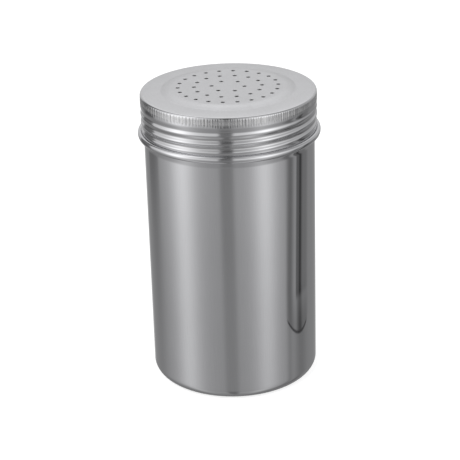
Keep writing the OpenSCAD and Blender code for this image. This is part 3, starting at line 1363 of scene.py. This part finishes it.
@dataclass
class Flag:
    """Curved dark card that stands close by at the right, with a rounded foot.

    The polished side mirrors it as a dark leg, a lighter stripe and a darker leg over a thin line.
    The card only glows in these given shades and lights nothing: a painted reflection.
    Heights are in millimetres here. The card leans over lean_from by lean degrees to a millimetre.
    """

    radius: float = 72.5
    start: float = 54.0
    end: float = 104.0
    top: float = 108.0
    fade: float = 12.0
    foot_at: float = 84.5
    foot_z: float = 0.7
    foot_bend: float = 0.018
    lean: float = 0.055
    lean_from: float = 25.0
    tone: float = 0.19
    # The lighter stripe, the darker leg's edge high and low, its core, and its lighter far side
    tones: tuple[Tone, ...] = (
        Tone((65.0, 73.0), 0.09, 0.18, (2.0, 28.0)),
        Tone((73.4, 76.0), 0.0, -0.22),
        Tone((73.4, 79.5), -0.15, 0.0),
        Tone((78.5, 81.5), -0.04, -0.09),
        Tone((82.5, 86.0), 0.04, 0.09),
        Tone((83.0, 89.0), 0.07, 0.07),
    )
    sides: tuple[Ramp, Ramp] = ((57.6, 64.5), (93.0, 102.0))
    line_sides: tuple[Ramp, Ramp] = ((59.0, 63.0), (93.0, 99.0))
    line_tone: float = 0.05
    line_h: float = 1.0
    line_soft: Ramp = (0.35, 1.3)

    def _foot(self, bearing: Floats | Value) -> Floats | Value:
        """Height of the card's foot, a parabola that is lowest at foot_at."""
        return self.foot_z + self.foot_bend * (bearing - self.foot_at) ** 2

    def build(self) -> bpy.types.Object:
        """Makes the card: part of a cylinder round the axis, from its top down to the foot line.

        Returns:
            The card.
        """
        bearing = np.linspace(self.start, self.end, 26)
        a = np.radians(bearing - 90)
        share = np.linspace(1, 0, 13)[:, None]
        z = (self._foot(bearing) - self.line_h)[None, :] * (1 - share) + self.top * share
        ring = np.broadcast_to(np.column_stack([np.cos(a), np.sin(a)]) * self.radius, (*z.shape, 2))
        skin = Skin("flag")
        skin.grid(np.concatenate([ring, z[..., None]], axis=-1), closed=False)
        flag = skin.build(self._material())
        hide(flag, diffuse=False)
        return flag

    def _material(self) -> bpy.types.Material:
        """Makes the card's shades over bearing and height, clear beyond its soft borders.

        Returns:
            The material.
        """
        made, graph = new_material("flag_card")
        x, y, z = graph.split(graph.point())
        bearing = x.math("ARCTAN2", -y) * math.degrees(1)
        height = z / MM
        lift = height - self._foot(bearing)
        bearing = bearing - self.lean * (height - self.lean_from).math("MAXIMUM", 0.0)
        shade = self.tone
        for tone in self.tones:
            amount = tone.low + (tone.high - tone.low) * height.rise(*tone.heights)
            shade = shade + bearing.rise(*tone.bearings) * amount
        inner, outer = (share * self.line_h for share in self.line_soft)
        line_there = abs(lift).fall(inner, outer)
        shade = shade - (shade - self.line_tone) * line_there
        card, foot_line = (
            bearing.rise(*near) * bearing.fall(*far) for near, far in (self.sides, self.line_sides)
        )
        cover = card * (1 - line_there) + foot_line * line_there
        cover = cover * lift.rise(-self.line_h, 0.0) * height.fall(self.top - self.fade, self.top)
        # The card's glow is a painted reflection for the steel
        glow(made, graph, shade, cover)
        return made


@dataclass
class FootShade:
    """Ring on the table close round the foot, where the steel mirrors the table's dark shadow."""

    inner: float = 20.0
    outer: float = 38.2
    dark_to: float = 33.5
    tone: float = 0.27
    height: float = 0.05

    def build(self) -> bpy.types.Object:
        """Makes the ring, flat and facing up.

        Returns:
            The ring.
        """
        made, graph = new_material("foot_shadow")
        x, y, _ = graph.split(graph.point())
        radius = (x * x + y * y) ** 0.5 / MM
        glow(made, graph, grey(self.tone), radius.fall(self.dark_to, self.outer))
        skin = Skin("foot_shade")
        skin.grid(revolve(line((self.inner, self.height), (self.outer, self.height), steps=4), 96))
        ring = skin.build(made)
        hide(ring, diffuse=False)
        return ring


@dataclass(frozen=True)
class SoftLamp:
    """A square soft lamp with its place, size and aim in metres and its power in watts."""

    name: str
    place: tuple[float, float, float]
    power: float
    size: float = 0.9
    aim: tuple[float, float, float] = (0.0, 0.0, 0.06)

    def build(self) -> bpy.types.Object:
        """Hangs the lamp, which the steel doesn't mirror.

        Returns:
            The lamp.
        """
        data = bpy.data.lights.new(self.name, "AREA")
        data.shape = "SQUARE"
        data.size = self.size
        data.energy = self.power
        lamp = bpy.data.objects.new(self.name, data)
        lamp.visible_glossy = False
        lamp.location = self.place
        lamp.rotation_euler = (Vector(self.aim) - lamp.location).to_track_quat("-Z", "Y").to_euler()
        bpy.context.scene.collection.objects.link(lamp)
        return lamp


@dataclass
class Studio:
    """White background, table, soft lamps, light tent, dark card, foot's shade and camera.

    The floor's radius and the camera's clipping are in metres, and its angles in degrees.
    """

    floor_r: float = 1.5
    floor_drop: float = 0.02
    floor_tone: float = 0.45
    floor_rough: float = 0.9
    floor_glow: float = 0.72
    aim: tuple[float, float, float] = (-0.857, 0.0, 62.167)
    elevation: float = 23.424
    roll: float = -1.62
    distance: float = 650.8
    lens: float = 120.99
    sensor: float = 36.0
    clip: tuple[float, float] = (0.05, 20.0)
    lamps: tuple[SoftLamp, ...] = (
        SoftLamp("key_lamp", (-0.7, -0.8, 1.1), 8.0),
        SoftLamp("fill_lamp", (0.9, -0.6, 0.9), 5.0),
    )
    tent: Tent = field(default_factory=Tent)
    flag: Flag = field(default_factory=Flag)
    foot: FootShade = field(default_factory=FootShade)

    def build(self) -> None:
        """Makes everything round the shaker."""
        self._world()
        self._floor()
        for prop in (self.tent, self.flag, self.foot, *self.lamps):
            prop.build()
        self._camera()

    def _world(self) -> None:
        """Makes the white background, for every ray that shows one."""
        world = bpy.data.worlds.new("white_background")
        world.use_nodes = True
        bpy.context.scene.world = world
        graph = Graph(world.node_tree)
        inputs = {"Color": grey(1.0), "Strength": shown_rays(graph)}
        shader = graph.node("ShaderNodeBackground", None, inputs)
        graph.node("ShaderNodeOutputWorld", None, {"Surface": shader})

    def _floor(self) -> None:
        """Makes the table top, a round white sheet that keeps the shaker's shadow.

        The steel mirrors the tent's lower half in its place.
        """
        bpy.ops.mesh.primitive_circle_add(vertices=96, radius=self.floor_r, fill_type="NGON")
        floor = bpy.context.object
        floor.name = "floor"
        floor.visible_glossy = False
        floor.location = (0.0, 0.0, -self.floor_drop * MM)
        made, graph = new_material("white_floor")
        matt = {"Roughness": self.floor_rough, "Specular IOR Level": 0.0}
        light = {"Emission Color": grey(1.0), "Emission Strength": shown_rays(graph) * self.floor_glow}
        graph.solid({"Base Color": grey(self.floor_tone), **matt, **light})
        made.cycles.emission_sampling = "NONE"
        floor.data.materials.append(made)

    def _camera(self) -> None:
        """Sets the camera at its distance from the aim point, tilted and slightly rolled."""
        data = bpy.data.cameras.new("camera")
        data.lens = self.lens
        data.sensor_width = self.sensor
        data.clip_start, data.clip_end = self.clip
        camera = bpy.data.objects.new("camera", data)
        tilt, roll = math.radians(self.elevation), math.radians(self.roll)
        back = Vector((0.0, -math.cos(tilt), math.sin(tilt)))
        level = Vector((1.0, 0.0, 0.0))
        lift = back.cross(level)
        right = level * math.cos(roll) + lift * math.sin(roll)
        up = lift * math.cos(roll) - level * math.sin(roll)
        turn = Matrix((right, up, back)).transposed()
        place = Vector(self.aim) * MM + back * (self.distance * MM)
        camera.matrix_world = Matrix.Translation(place) @ turn.to_4x4()
        bpy.context.scene.collection.objects.link(camera)
        bpy.context.scene.camera = camera


def place(piece: bpy.types.Object, body: str, node: str, slot: str) -> None:
    """Lets a piece ride on its body and stand for its CAD node, and reports it.

    Args:
        piece: the finished piece.
        body: the CAD body that it moves with.
        node: the CAD node that it replaces.
        slot: not used.
    """
    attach(piece, body)
    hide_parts(node)
    log.info("%s: %d faces, rides on %s, stands for %s", piece.name, len(piece.data.polygons), body, node)


def main() -> None:
    """Builds the cup, the seal, the lid and the studio."""
    logging.basicConfig(level=logging.INFO, format="%(name)s: %(message)s")
    place(Cup().build(), "cup", "cup", "cup_steel")
    place(Seal().build(), "seal", "lid_seal", "seal_rubber")
    place(Lid().build(), "lid", "lid", "lid_steel")
    Studio().build()
    bpy.context.scene.view_settings.view_transform = "Standard"


if __name__ == "__main__":
    main()
